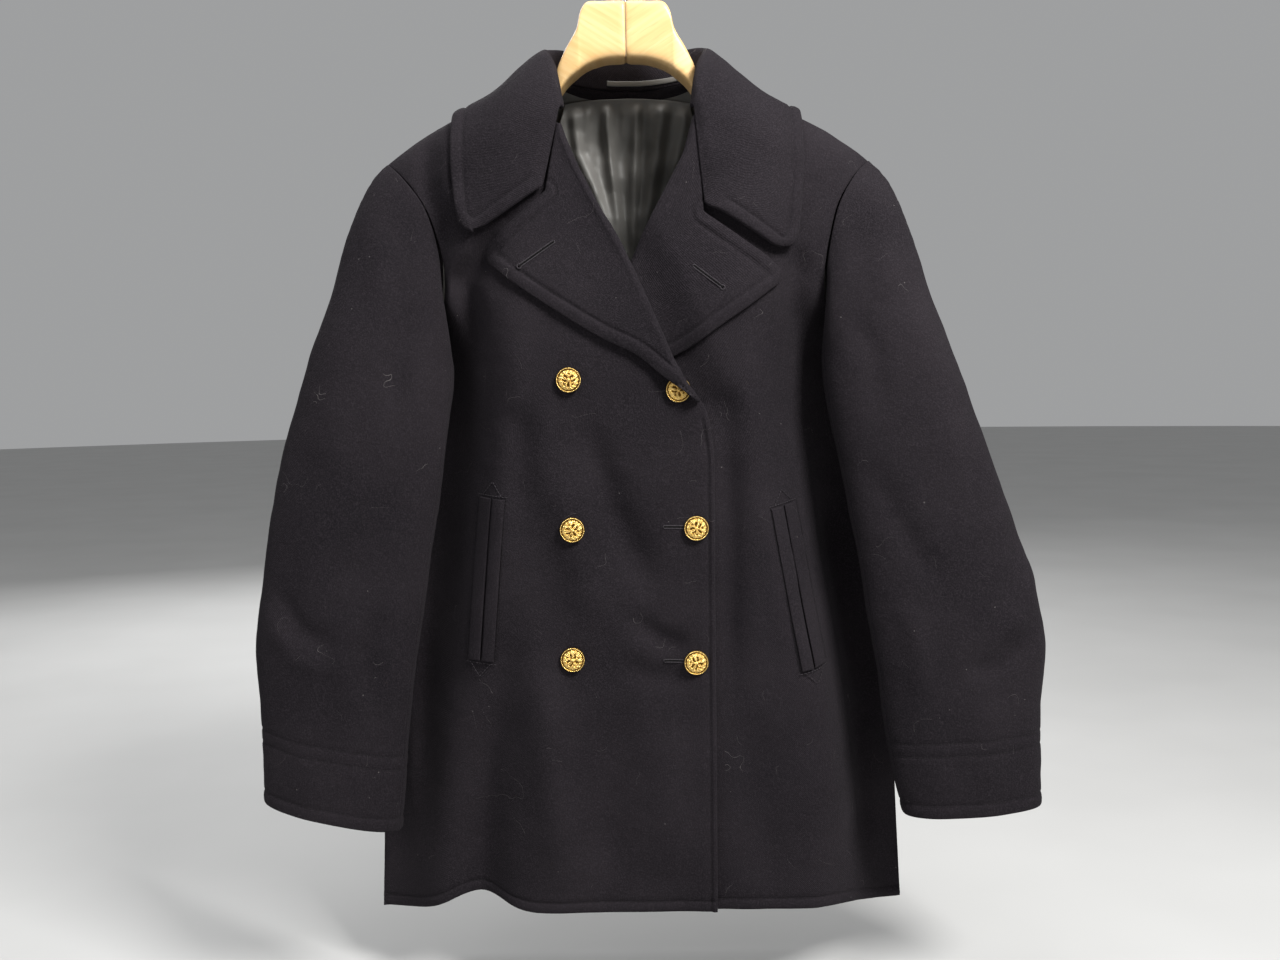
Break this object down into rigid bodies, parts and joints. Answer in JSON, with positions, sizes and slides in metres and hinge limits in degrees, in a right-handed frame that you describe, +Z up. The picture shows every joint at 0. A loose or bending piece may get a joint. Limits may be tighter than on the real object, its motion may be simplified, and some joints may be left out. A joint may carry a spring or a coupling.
{
  "type": "double-breasted pea coat on a wooden hanger",
  "caption": "Hip-length double-breasted wool coat with wide collar and lapels, welt pockets and gilt buttons, hung closed on a wooden hanger.",
  "frame": {"origin": "inside of the hanger hook's bend, where it bears on the rail", "axes": "+Z up, -Y the front of the coat, +X the wearer's left"},
  "size_m": [0.7119, 0.1498, 0.9197],
  "materials": {
    "melton": "matte napped wool",
    "lining": "satin",
    "button": "polished",
    "wood": "lacquered",
    "hook": "polished"
  },
  "bodies": {
    "root": {"back_left": "melton", "back_right": "melton", "button_1": "button", "button_2": "button", "button_3": "button", "button_4": "button", "button_5": "button", "button_6": "button", "collar": "melton", "front_left": "melton", "front_right": "melton", "hanger_left": "wood", "hanger_right": "wood", "hanging_loop": "melton", "hook": "hook", "lapel_left": "melton", "lapel_right": "melton", "lining_back": "lining", "sleeve_under_left": "melton", "sleeve_under_right": "melton", "sleeve_upper_left": "melton", "sleeve_upper_right": "melton", "welt_inner_left": "melton", "welt_inner_right": "melton", "welt_outer_left": "melton", "welt_outer_right": "melton"}
  },
  "joints": []
}
